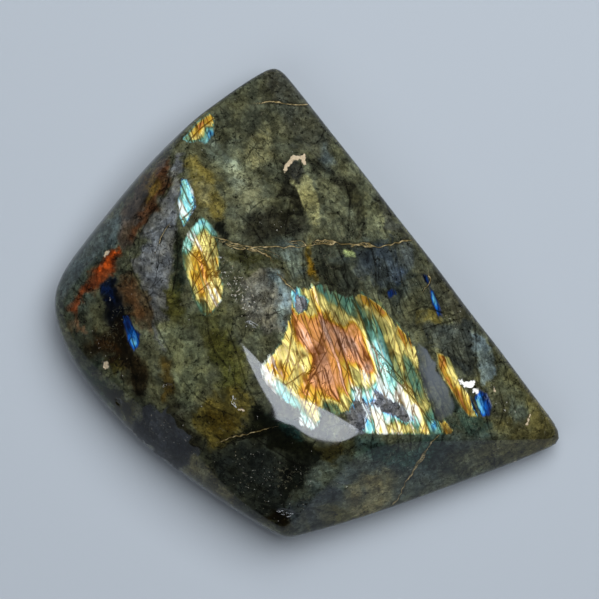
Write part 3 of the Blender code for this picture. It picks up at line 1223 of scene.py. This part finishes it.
broad = grain(260.0)["Fac"]
fine = grain(1100.0, 5.0, 0.75)["Fac"]
combed = marking("combed")
light = times(
    ease(broad, 0.3, 0.7, 0.6, 1.65),
    ease(fine, 0.28, 0.72, 0.56, 1.58),
    plus(times(combed, ease(body_streaks, 0.3, 0.7, -0.3, 0.3)), 0.96),
    grains(130.0, 0.86, 1.18),
    grains(420.0, 0.82, 1.22),
    grains(1000.0, 0.74, 1.3),
)
COOL_TINT, WARM_TINT = (0.95, 1.0, 1.07, 1.0), (1.06, 1.02, 0.88, 1.0)
warmth = mix(patchy(200.0, 0.35, 0.65), COOL_TINT, WARM_TINT)
body = vector_math("SCALE", mix(1.0, marking("body", "Color"), warmth, "MULTIPLY"), light)


# %% Dark and pale wisps
def wisps(scale, width, vector=here):
    """Thin curling lines, where a noise crosses its middle value."""
    off_middle = plus(grain(scale, 2.0, 0.5, vector)["Fac"], -0.5)
    return ease(calc(tree, "ABSOLUTE", off_middle), width, 0.0)


tall = vector_math("MULTIPLY", wavy_place, (0.10, 0.045, 1.0))
wisp_mask = times(wisps(1.0, 0.022, tall), patchy(150.0, 0.5, 0.66))
hair_mask = times(wisps(420.0, 0.016), patchy(190.0, 0.48, 0.62))
curl_mask = times(wisps(950.0, 0.03), patchy(230.0, 0.5, 0.62), 0.8)
pale_mask = times(wisps(520.0, 0.014, crumpled), patchy(170.0, 0.52, 0.62), 0.4)
body = mix(times(largest(wisp_mask, hair_mask, curl_mask), 0.75), body, paint(13, 13, 8))
body = mix(pale_mask, body, paint(124, 122, 100))

# %% Combing and thin cracks
striae = slats(STEEP, 6.0, 44.0, 0.14)
across = slats(LEANING, 22.0, 60.0, 0.035, shaken(place, 200.0, 16.0))
crazed = slats(FLAT, 30.0, 50.0, 0.02, shaken(place, 260.0, 22.0))
stria_mask = times(striae["Lines"], patchy(130.0, 0.42, 0.62), combed)
across_mask = times(largest(across["Lines"], crazed["Lines"]), patchy(110.0, 0.46, 0.62))
body = mix(times(largest(stria_mask, across_mask), 0.64), body, paint(13, 13, 9))
slat_tone = plus(times(combed, ease(striae["Slat"], 0.0, 1.0, -0.16, 0.16)), 1.0)
body = vector_math("SCALE", body, slat_tone)

# %% Dark specks and pale flecks
speck_place = shaken(here, 900.0, 0.0006)
specks = group_node(flecks_group, Place=speck_place, Scale=900.0, Density=0.52)
flecks = group_node(flecks_group, Place=here, Scale=1900.0, Density=marking("flecks"))
fleck_colour = mix(ease(flecks["Value"], 0.35, 0.65), paint(126, 116, 88), paint(190, 190, 184))
body = mix(times(specks["Mask"], 0.7), body, paint(15, 15, 11))
body = mix(times(flecks["Mask"], 0.75), body, fleck_colour)

# %% The flash: its colour
main = slats(STEEP, 6.0, 110.0, 0.135)
cross = slats(LEANING, 13.0, 120.0, 0.062)
slanting = slats(DIAGONAL, 14.0, 90.0, 0.052)
layer = plus(
    marking("flash_hue"),
    swing(main["Slat"], 0.13),
    swing(flash_streaks, 0.22),
    swing(slanting["Slat"], 0.06),
)
SPECTRUM = (
    (NAVY, (32, 50, 104)),
    (BLUE, (28, 100, 196)),
    (CYAN, (112, 200, 228)),
    (MINT, (156, 222, 210)),
    (TEAL, (104, 164, 144)),
    (GREEN, (132, 156, 112)),
    (OLIVE, (170, 164, 92)),
    (LEMON, (252, 236, 142)),
    (GOLD, (232, 188, 64)),
    (ORANGE, (228, 154, 78)),
    (SALMON, (232, 166, 120)),
    (MAUVE, (198, 158, 136)),
)
ramp = add(tree, "ShaderNodeValToRGB", {"Fac": layer})
while len(ramp.color_ramp.elements) < len(SPECTRUM):
    ramp.color_ramp.elements.new(0.5)
for element, (position, colour) in zip(ramp.color_ramp.elements, SPECTRUM):
    element.position = position
    element.color = paint(*colour)
print("the spectrum has", len(SPECTRUM), "colours")

# %% The flash: how bright it is and where its cracks run
GLARING = (0.80, 0.84, 0.82, 1.0)  # what the strongest glow bleaches to
CRACK_SHADE = (0.20, 0.13, 0.08, 1.0)
brightness = times(
    marking("flash_glow"),
    ease(flash_streaks, 0.28, 0.72, 0.62, 1.4),
    ease(main["Slat"], 0.0, 1.0, 0.8, 1.2),
    ease(slanting["Slat"], 0.0, 1.0, 0.88, 1.12),
)
glowing = vector_math("SCALE", ramp.outputs["Color"], brightness)
flash = mix(ease(brightness, 1.3, 2.2, 0.0, 0.9), glowing, GLARING)

strand = ease(grain(380.0, 2.0)["Fac"], 0.35, 0.65, 0.45, 1.0)
family_lines = largest(main["Lines"], cross["Lines"], times(slanting["Lines"], 0.7))
crack_width = ease(grain(900.0, 2.0)["Fac"], 0.3, 0.7, 0.9, 2.4)
crack_lines = ease(calc(tree, "ABSOLUTE", marking("crack")), crack_width, 0.2)
lines = largest(times(family_lines, strand), crack_lines)
flash = mix(times(lines, 0.96), flash, mix(1.0, flash, CRACK_SHADE, "MULTIPLY"))
body = mix(times(crack_lines, 0.6), body, paint(16, 15, 10))

# %% Lay the flash over the stone, and the painted grey reflection over both
fringe = plus(swing(main["Slat"], 5.0), swing(flash_streaks, 12.0), swing(fine, 5.0))
ragged = plus(marking("flash_depth"), times(fringe, marking("ragged")))
surface = mix(ease(ragged, -1.2, 1.6), body, flash)
# painted reflection: a grey glare mixed over the flash and the body
surface = mix(marking("painted_glare"), surface, mix(0.3, paint(108, 116, 126), body))

# %% Veins, with the shade of the crack that they healed
vein_gap = calc(tree, "ABSOLUTE", marking("vein"))
vein_width = ease(grain(320.0, 3.0)["Fac"], 0.38, 0.62, 0.35, 1.1)
vein_grain = ease(grain(900.0, 3.0)["Fac"], 0.4, 0.7)
vein_colour = mix(vein_grain, paint(112, 98, 62), paint(200, 182, 138))
surface = mix(ease(vein_gap, 2.8, 0.4, 0.0, 0.55), surface, paint(24, 22, 14))
surface = mix(times(ease(vein_gap, vein_width, 0.1), 0.85), surface, vein_colour)

# %% Chips of pale mineral
WHITE_MINERAL = (0.86, 0.86, 0.84, 1.0)
chip_mask = ease(plus(marking("chips"), swing(fine, 3.0)), -0.5, 0.6)
chip_colour = mix(fine, paint(158, 140, 110), paint(232, 214, 184))
chip_colour = mix(ease(marking("white"), -3.0, -2.0), chip_colour, WHITE_MINERAL)
surface = mix(chip_mask, surface, chip_colour)

# %% Polish, and what breaks it
POLISHED, TORN = 0.06, 0.55  # roughness of the polish, and of the mineral in a chip
RELIEF = 0.00006  # metres
dull = largest(times(marking("rubbed"), 0.75), chip_mask, times(flecks["Mask"], 0.5))
relief = times(fine, dull, 0.6)
bump = add(tree, "ShaderNodeBump", {"Strength": 0.5, "Distance": RELIEF, "Height": relief})
give(tree, shader.inputs["Base Color"], surface)
give(tree, shader.inputs["Roughness"], ease(dull, 0.0, 1.0, POLISHED, TORN))
give(tree, shader.inputs["Normal"], bump.outputs["Normal"])
shader.inputs["IOR"].default_value = 1.56
shader.inputs["Specular IOR Level"].default_value = 0.28
stone_mesh.materials.append(material)
print("the material has", len(tree.nodes), "nodes")

# %% Tell the frame what the piece is
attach(stone, "root")
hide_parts("labradorite_stone")

# %% [markdown]
# ## The floor and the light
# The stone lies on a plain pale floor. One large soft light from the upper right gives
# the shadow, and a weak one from the other side lifts it. A polished face mirrors the
# studio too: a lit panel in front, out of the camera's sight, shows as the bright patch
# on the stone's shoulder. Its outline is what that patch becomes when it is traced back
# from the domed faces to the panel.

# %% The floor
FLOOR_GAP = 0.0002  # metres that the floor lies below the base
floor_net = bmesh.new()
bmesh.ops.create_grid(floor_net, x_segments=1, y_segments=1, size=3.0)
floor_mesh = bpy.data.meshes.new("floor")
floor_net.to_mesh(floor_mesh)
floor_net.free()
floor = bpy.data.objects.new("floor", floor_mesh)
floor.location = (0.0, 0.0, -FLOOR_GAP)
scene.collection.objects.link(floor)
floor_material = bpy.data.materials.new("pale_floor")
floor_material.use_nodes = True
floor_shader = floor_material.node_tree.nodes["Principled BSDF"]
floor_shader.inputs["Base Color"].default_value = (0.385, 0.43, 0.485, 1.0)
floor_shader.inputs["Roughness"].default_value = 0.9
floor_shader.inputs["Specular IOR Level"].default_value = 0.1
floor_mesh.materials.append(floor_material)
floor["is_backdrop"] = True


# %% The soft lights
STONE_MIDDLE = Vector((0.0, 0.0, 0.015))


def softbox(name, place, width, power):
    """A square area light, in metres, that looks at the stone and isn't mirrored in it."""
    light = bpy.data.lights.new(name, "AREA")
    light.size = width
    light.energy = power
    lamp = bpy.data.objects.new(name, light)
    lamp.location = place
    lamp.rotation_euler = (STONE_MIDDLE - Vector(place)).to_track_quat("-Z", "Y").to_euler()
    lamp.visible_camera = False
    lamp.visible_glossy = False
    scene.collection.objects.link(lamp)


softbox("key", (0.20, 0.32, 0.80), 0.75, 11.0)
softbox("fill", (-0.4, -0.4, 0.9), 0.8, 2.0)

# %% The bright panel that the shoulder mirrors, in metres
PANEL_OUTLINE = (
    (-0.158, 0.824), (-0.182, 0.722), (-0.181, 0.598), (-0.174, 0.379), (-0.157, 0.128), (-0.141, -0.153),
    (-0.150, -0.500), (-0.172, -1.100), (-0.088, -1.021), (-0.030, -0.738), (0.001, -0.940), (0.028, -0.980),
    (0.074, -0.515), (0.110, -0.005), (0.147, 0.406), (0.161, 0.732), (0.167, 0.850), (0.139, 0.822),
    (0.116, 0.783), (0.079, 0.734), (0.042, 0.761), (-0.007, 0.781), (-0.043, 0.817), (-0.117, 0.840),
)
PANEL_GLOW = 13.0
panel_net = bmesh.new()
panel_net.faces.new([panel_net.verts.new((x, y, 0.0)) for x, y in PANEL_OUTLINE])
panel_mesh = bpy.data.meshes.new("shoulder_panel")
panel_net.to_mesh(panel_mesh)
panel_net.free()
panel = bpy.data.objects.new("shoulder_panel", panel_mesh)
panel.location = (-0.137, -0.789, 0.83)
panel.rotation_euler = (math.radians(-25.7), math.radians(21.5), math.radians(-23.2))
for ray in ("camera", "diffuse", "transmission", "volume_scatter", "shadow"):
    setattr(panel, "visible_" + ray, False)
scene.collection.objects.link(panel)
panel_material = bpy.data.materials.new("bright_panel")
panel_material.use_nodes = True
panel_shader = panel_material.node_tree.nodes["Principled BSDF"]
panel_shader.inputs["Base Color"].default_value = (0.0, 0.0, 0.0, 1.0)
panel_shader.inputs["Emission Color"].default_value = (0.84, 0.90, 1.0, 1.0)
panel_shader.inputs["Emission Strength"].default_value = PANEL_GLOW
panel_mesh.materials.append(panel_material)
panel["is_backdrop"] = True

# %% The air around
world = bpy.data.worlds.new("studio")
world.use_nodes = True
air = world.node_tree.nodes["Background"].inputs
air["Color"].default_value = (0.55, 0.62, 0.72, 1.0)
air["Strength"].default_value = 0.06
scene.world = world
scene.view_settings.view_transform = "Standard"

# %% [markdown]
# ## Print the sizes
# The dressed stone has to keep the solid's size. Both boxes are printed side by side.

# %% Print the sizes
dressed_low, dressed_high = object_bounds()
sizes = {
    "solid": [list(solid_low), list(solid_high)],
    "dressed": [list(dressed_low), list(dressed_high)],
}
print("sizes", sizes)
